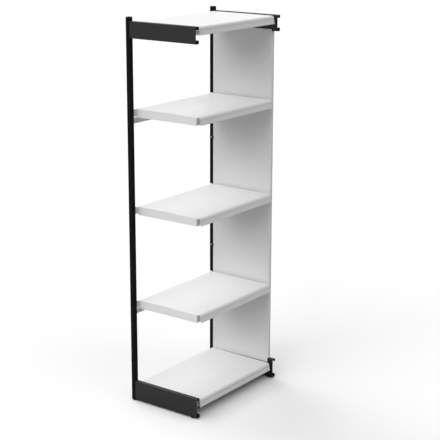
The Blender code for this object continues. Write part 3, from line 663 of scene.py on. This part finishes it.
post = {
    "corner": 0.003, "cornerSteps": 6, "wall": 0.002, "slots": 70, "firstSlot": 0.133, "slotPitch": 0.025,
    "slotHigh": 0.016, "slotWide": 0.004, "slotRound": 0.0012, "slotReach": 0.004, "slotBack": 0.0165}
cap = {"plate": 0.002, "edge": 0.0009, "plugIn": 0.0024, "plugUp": 0.0005, "plugRound": 0.0006}
channel = {
    "sheet": 0.002, "bend": 0.004, "lip": 0.017, "rim": 0.0005, "plate": 0.004, "plateIn": 0.001,
    "plateGap": 0.0002, "plateRound": 0.0005, "footHole": 0.0045, "footHoleReach": 0.01,
    "boss": 0.006, "bossOut": 0.0057, "bossEdge": 0.0006, "bossRoot": 0.001, "bore": 0.0028, "boreDeep": 0.012}


def squareTube(low, high):
    # upright block with rounded corners
    bm = block(bmesh.new(), low, high)
    upright = [e for e in bm.edges if (e.verts[0].co - e.verts[1].co).xy.length < touch]
    roundEdges(bm, upright, post["corner"], post["cornerSteps"])
    return bm


def makePost(side):
    low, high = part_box(f"{side}_post")
    bm = squareTube(low, high)
    ends = [f for f in bm.faces if abs(f.normal.z) > 0.9]
    bmesh.ops.delete(bm, geom=ends, context="FACES_ONLY")
    bmesh.ops.recalc_face_normals(bm, faces=bm.faces[:])
    tube = thicken(looseObject(f"{side}PostTube", bm), post["wall"])
    x, y = innerFace(side), low.y + post["slotBack"]
    across, wide = post["slotReach"], post["slotWide"] / 2
    holes = bmesh.new()
    for k in range(post["slots"]):
        z = post["firstSlot"] + k * post["slotPitch"]
        old = set(holes.verts)
        block(holes, (x - across, y - wide, z), (x + across, y + wide, z + post["slotHigh"]))
        new = [v for v in holes.verts if v not in old]
        roundEdges(holes, [e for e in edgesAt(new) if abs(e.verts[0].co.x - e.verts[1].co.x) > across],
                   post["slotRound"], 3)
    for boltName in frameBolts:
        boltHole(holes, f"{side}_{boltName}")
    cutter = looseObject("holeCutter", holes)
    settle(cut(tube, cutter), [cutter])
    finishPiece(tube, "frame", "black_powder_coat", f"{side}_post", finishName="flat_black_coat")


def makeCap(side):
    low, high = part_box(f"{side}_post_cap")
    bm = squareTube((low.x, low.y, high.z - cap["plate"]), high)
    roundEdges(bm, [e for e in bm.edges if all(v.co.z > high.z - touch for v in e.verts)], cap["edge"], 3)
    inset = Vector((cap["plugIn"], cap["plugIn"], 0))
    plugTop = high - zAxis * (cap["plate"] - cap["plugUp"])
    block(bm, low + inset, plugTop - inset, cap["plugRound"])
    finishPiece(looseObject(f"{side}PostCap", bm), "frame", "black_plastic", f"{side}_post_cap")


def makeChannel(side, kind, shelfName):
    node = f"{side}_{kind}"
    postLow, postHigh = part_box(f"{side}_post")
    low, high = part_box(node)
    left, right = postLow.x, postHigh.x
    c = channel
    points = [(x, low.y, z) for x, z in (
        (right, high.z - c["lip"]), (right, high.z), (left, high.z), (left, low.z), (right, low.z),
        (right, low.z + c["lip"]))]
    bm = foldStrip(points, {k: (c["bend"], 6) for k in (1, 2, 3, 4)}, (0, high.y - low.y, 0))
    turnOut(bm, -xAxis)
    word = "Arm" if kind == "top_arm" else "Leg"
    obj = thicken(looseObject(f"{side}{word}Channel", bm), c["sheet"], c["rim"])
    tools = []
    if kind == "base_leg":
        footLow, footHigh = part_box(f"front_{side}_foot")
        middle = (footLow + footHigh) / 2
        r, reach = c["footHole"], c["footHoleReach"]
        hole = lathe(bmesh.new(), [(0, reach), (r, reach), (r, -reach), (0, -reach)],
                     Matrix.Translation((middle.x, middle.y, low.z)))
        tools.append(looseObject("footHole", hole))
        cut(obj, tools[0])
    settle(obj, tools)
    # end plate against the post, and bosses for the screws of the shelf
    extra = block(bmesh.new(), (left + c["plateIn"], high.y - c["plate"], low.z + c["plateIn"]),
                  (right - c["plateIn"], high.y - c["plateGap"], high.z - c["plateIn"]), c["plateRound"])
    inward = xAxis * -postSide[side]
    start = left + c["bossRoot"]
    length = abs(innerFace(side) + inward.x * c["bossOut"] - start)
    boreFoot = max(length - c["boreDeep"], c["bossRoot"])
    profile = [(0, 0), (c["boss"], 0), (c["boss"], length - c["bossEdge"]), (c["boss"] - c["bossEdge"], length),
               (c["bore"], length), (c["bore"], boreFoot), (0, boreFoot)]
    for end in ("front", "rear"):
        screwLow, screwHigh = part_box(f"{shelfName}_shelf_screw_{side}_{end}")
        middle = (screwLow + screwHigh) / 2
        lathe(extra, profile, standOn(inward, (start, middle.y, middle.z)))
    addTo(obj, extra)
    finishPiece(obj, "frame", "black_powder_coat", node)


for side in postSide:
    makePost(side)
    makeCap(side)
    makeChannel(side, "top_arm", "top")
    makeChannel(side, "base_leg", "base")
    for boltName in frameBolts:
        makeBolt(f"{side}_{boltName}")
    for name in fixedShelves:
        for end in ("front", "rear"):
            makeFittedScrew(f"{name}_shelf_screw_{side}_{end}", "shelf", xAxis * -postSide[side], "zinc_plate")
print("end frames made")


# end panel: one sheet with a rounded front edge, lapped over the arm and leg of the right end frame

panel = {"sheet": 0.0015, "round": 0.010, "rim": 0.0003, "hemBack": 0.022, "relief": 0.002, "lap": 0.0008,
         "trim": 0.0055}
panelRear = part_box("end_panel")[1].y - panel["trim"]  # level with the front of the post, which shows whole
clip = {"gap": 0.0003, "finger": 0.002, "round": 0.0005, "screwIn": 0.008}


def makePanel():
    low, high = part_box("end_panel")
    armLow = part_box("right_top_arm")[0]
    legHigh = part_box("right_base_leg")[1]
    points = [(x, y, low.z) for x, y in (
        (low.x, panelRear), (low.x, low.y), (high.x, low.y), (high.x, low.y + panel["hemBack"]))]
    bm = foldStrip(points, {1: (panel["round"], 12), 2: (panel["round"], 12)}, (0, 0, high.z - low.z))
    # only the flat of the sheet runs on over the arm and the leg
    floorCut, topCut = legHigh.z + panel["relief"], armLow.z - panel["relief"]
    for z in (floorCut, topCut):
        sliceAt(bm, (0, 0, z), zAxis)
    gone = [f for f in bm.faces if not floorCut < f.calc_center_median().z < topCut
            and f.calc_center_median().x > low.x + panel["lap"]]
    bmesh.ops.delete(bm, geom=gone, context="FACES")
    turnOut(bm, -xAxis)
    obj = settle(thicken(looseObject("endPanelSheet", bm), panel["sheet"], panel["rim"]))
    finishPiece(obj, "frame", "white_powder_coat", "end_panel")


def makeClip(which):
    node = f"panel_clip_{which}"
    low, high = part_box(node)
    edge, finger = panelRear + clip["gap"], low.x + clip["finger"]
    outline = [(x, y, low.z) for x, y in (
        (high.x, edge), (high.x, high.y), (low.x, high.y), (low.x, low.y), (finger, low.y), (finger, edge))]
    bm = prism(bmesh.new(), outline, (0, 0, high.z - low.z), clip["round"], 3)
    finishPiece(looseObject(f"{which}PanelClip", bm), "frame", "black_powder_coat", node)
    seat = (low.x, high.y - clip["screwIn"], (low.z + high.z) / 2)
    makeScrew(f"{which}ClipScrew", "clip", -xAxis, seat, "zinc_plate")


makePanel()
for which in ("lower", "upper"):
    makeClip(which)
for level in ("top", "bottom"):
    for end in ("front", "rear"):
        makeFittedScrew(f"panel_screw_{level}_{end}", "panel", -xAxis, "white_powder_coat")
print("end panel hung")


# tie rails between the posts: a brow at the top, a web set back below it, and an ear at each end

rail = {"sheet": 0.0015, "bend": 0.0022, "rim": 0.0003, "inset": 0.001, "brow": 0.012, "step": 0.0125,
        "drop": 0.008, "ear": 0.002, "earRound": 0.0005, "screwBack": 0.001}


def makeRail(name):
    node = f"{name}_tie_rail"
    low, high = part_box(node)
    inset = rail["inset"]
    front, rear = low.y + inset, high.y - inset
    top, bottom = high.z - inset, low.z + inset - rail["drop"]
    web, brow = front + rail["step"], top - rail["brow"]
    points = [(low.x + inset, y, z) for y, z in (
        (rear, top), (front, top), (front, brow), (web, brow), (web, bottom), (rear, bottom))]
    bm = foldStrip(points, {k: (rail["bend"], 5) for k in (1, 2, 3, 4)}, (high.x - low.x - 2 * inset, 0, 0))
    turnOut(bm, -yAxis)
    obj = settle(thicken(looseObject(f"{name}TieRail", bm), rail["sheet"], rail["rim"]))
    left, right = low.x + rail["ear"], high.x - rail["ear"]
    ears = bmesh.new()
    block(ears, low, (left, high.y, high.z), rail["earRound"])
    block(ears, (right, low.y, low.z), high, rail["earRound"])
    addTo(obj, ears)
    finishPiece(obj, "frame", "white_powder_coat", node)
    for word, x, way in (("Left", left, xAxis), ("Right", right, -xAxis)):
        seat = (x, (low.y + high.y) / 2 + rail["screwBack"], (low.z + high.z) / 2)
        makeScrew(f"{name}Rail{word}Screw", "rail", way, seat, "zinc_plate")


for name in ("upper", "lower"):
    makeRail(name)
print("tie rails made")


# feet: a pad and a threaded stud

foot = {
    # pad, from the floor up: distance in from its edge and height, then radius and height of its hub
    "pad": ((0.004, 0.0), (0.0034, 0.0007), (0.0016, 0.0007), (0.0006, 0.0011), (0.0, 0.0021), (0.0, 0.0036),
            (0.0006, 0.0044), (0.0022, 0.0050)),
    "hub": ((0.0072, 0.0054), (0.0060, 0.0057), (0.0, 0.0057)),
    "stud": 0.0036, "studFoot": 0.0050, "studTip": 0.0006,
    "pitch": 0.00125, "ridge": 0.0004, "threadFoot": 0.0068, "plain": 0.0090}


def makeFoot(end, side):
    node = f"{end}_{side}_foot"
    low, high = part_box(node)
    stand = Matrix.Translation(((low.x + high.x) / 2, (low.y + high.y) / 2, low.z))
    radius, top = (high.x - low.x) / 2, high.z - low.z
    pad = [(0, 0.0), *((radius - inset, height) for inset, height in foot["pad"]), *foot["hub"]]
    bm = lathe(bmesh.new(), pad, stand, 40)
    word, body = f"{end}{side.title()}Foot", f"{end}_{side}_foot_screw"
    finishPiece(looseObject(f"{word}Pad", bm), body, "black_plastic", node)
    stud, tip = foot["stud"], foot["studTip"]
    bm = lathe(bmesh.new(), [(0, foot["studFoot"]), (stud, foot["studFoot"]), (stud, top - tip), (stud - tip, top),
                             (0, top)], stand, 20)
    threadRidge(bm, stud, foot["ridge"], foot["pitch"], top - foot["plain"],
                stand @ Matrix.Translation((0, 0, foot["threadFoot"])))
    finishPiece(looseObject(f"{word}Stud", bm), body, "zinc_plate")


for side in postSide:
    for end in ("front", "rear"):
        makeFoot(end, side)
print("feet turned")


# the other CAD nodes keep their shapes and take a finish
for nodeName, obj in frame["nodes"].items():
    if obj.hide_render:
        continue
    slotName = next(s["material_slot"] for s in frame["record"]["subparts"] if s["node"] == nodeName)
    obj.data.materials.clear()
    obj.data.materials.append(finish[slotName])
print("hardware finished")


# floor and light

studio = {
    # the way each lamp shines, how broad it is in degrees, and its strength
    "lamps": {"backLamp": ((-0.15, -0.69, -0.71), 40.0, 0.99), "rearLeftLamp": ((0.55, -0.55, -0.62), 40.0, 0.33),
              "leftLamp": ((0.84, -0.03, -0.52), 48.0, 1.25), "frontLamp": ((0.05, 0.64, -0.76), 40.0, 0.32)},
    # glow of the sky by height, from the horizon up
    "sky": 0.90, "skyBand": ((0.24, 0.0), (0.55, 1.0), (0.75, 0.8), (1.0, 0.3)),
    "floorSize": 40, "floorPale": 0.93, "floorBounce": 0.25}


def splitRays(tree, socket, hidden, seen, out):
    # seen is what the picture and its reflections show, hidden is what lights the object
    path = addNode(tree, "ShaderNodeLightPath")
    direct = addNode(tree, "ShaderNodeMath", operation="MAXIMUM")
    shown = addNode(tree, "ShaderNodeMath", operation="MAXIMUM")
    mix = addNode(tree, "ShaderNodeMixShader")
    join(tree, path, "Is Camera Ray", direct, 0)
    join(tree, path, "Is Glossy Ray", direct, 1)
    join(tree, direct, "Value", shown, 0)
    join(tree, path, "Is Transmission Ray", shown, 1)
    join(tree, shown, "Value", mix, "Fac")
    join(tree, hidden, socket, mix, 1)
    join(tree, seen, socket, mix, 2)
    join(tree, mix, "Shader", out, "Surface")


def makeFloor():
    bm = bmesh.new()
    bmesh.ops.create_grid(bm, x_segments=8, y_segments=8, size=studio["floorSize"])
    floor = looseObject("studioFloor", bm)
    mat = bpy.data.materials.new("pale_floor")
    mat.use_nodes = True
    tree = mat.node_tree
    tree.nodes.clear()
    pale, dull = (addNode(tree, "ShaderNodeBsdfDiffuse", {"Color": (grey, grey, grey, 1)})
                  for grey in (studio["floorPale"], studio["floorBounce"]))
    splitRays(tree, "BSDF", dull, pale, addNode(tree, "ShaderNodeOutputMaterial"))
    floor.data.materials.append(mat)


def makeLight():
    for name, (way, breadth, strength) in studio["lamps"].items():
        sun = bpy.data.lights.new(name, "SUN")
        sun.energy = strength
        sun.angle = math.radians(breadth)
        lamp = bpy.data.objects.new(name, sun)
        lamp.rotation_euler = Vector(way).to_track_quat("-Z", "Y").to_euler()
        scene.collection.objects.link(lamp)
    world = bpy.data.worlds.new("studio")
    scene.world = world
    world.use_nodes = True
    tree = world.node_tree
    tree.nodes.clear()
    spot = addNode(tree, "ShaderNodeTexCoord")
    split = addNode(tree, "ShaderNodeSeparateXYZ")
    band = addNode(tree, "ShaderNodeValToRGB")
    for k, (height, glow) in enumerate(studio["skyBand"]):
        stop = band.color_ramp.elements[k] if k < 2 else band.color_ramp.elements.new(height)
        stop.position = height
        stop.color = (glow, glow, glow, 1)
    rise = addNode(tree, "ShaderNodeMath", {1: studio["sky"]}, operation="MULTIPLY")
    sky = addNode(tree, "ShaderNodeBackground", {"Color": (1, 1, 1, 1)})
    white = addNode(tree, "ShaderNodeBackground", {"Color": (1, 1, 1, 1), "Strength": 1.0})
    join(tree, spot, "Object", split, "Vector")
    join(tree, split, "Z", band, "Fac")
    join(tree, band, "Color", rise, 0)
    join(tree, rise, "Value", sky, "Strength")
    splitRays(tree, "Background", sky, white, addNode(tree, "ShaderNodeOutputWorld"))


makeFloor()
makeLight()


# camera, fitted to the photograph's edges; angles in degrees, focal length in pixels of the picture
view = {"azimuth": -53.596, "elevation": 15.149, "roll": 0.1425, "distance": 6.572, "aimX": 0.1323, "aimZ": 0.9095,
        "focal": 1245.3, "picture": 440.0, "sensor": 36.0, "clipEnd": 200.0}


def makeCamera():
    az, el, roll = (math.radians(view[k]) for k in ("azimuth", "elevation", "roll"))
    ahead = Vector((-math.sin(az) * math.cos(el), math.cos(az) * math.cos(el), -math.sin(el)))
    right = Vector((math.cos(az), math.sin(az), 0))
    up = right.cross(ahead)
    right, up = right * math.cos(roll) + up * math.sin(roll), up * math.cos(roll) - right * math.sin(roll)
    data = bpy.data.cameras.new("camera")
    data.sensor_fit = "HORIZONTAL"
    data.sensor_width = view["sensor"]
    data.lens = view["focal"] * view["sensor"] / view["picture"]
    data.clip_end = view["clipEnd"]
    cam = bpy.data.objects.new("camera", data)
    spot = Vector((view["aimX"], 0, view["aimZ"])) - ahead * view["distance"]
    turn = Matrix((right, up, -ahead)).transposed().to_4x4()
    cam.matrix_world = Matrix.Translation(spot) @ turn
    scene.collection.objects.link(cam)
    scene.camera = cam


makeCamera()
scene.view_settings.view_transform = "Standard"
print("studio lit")
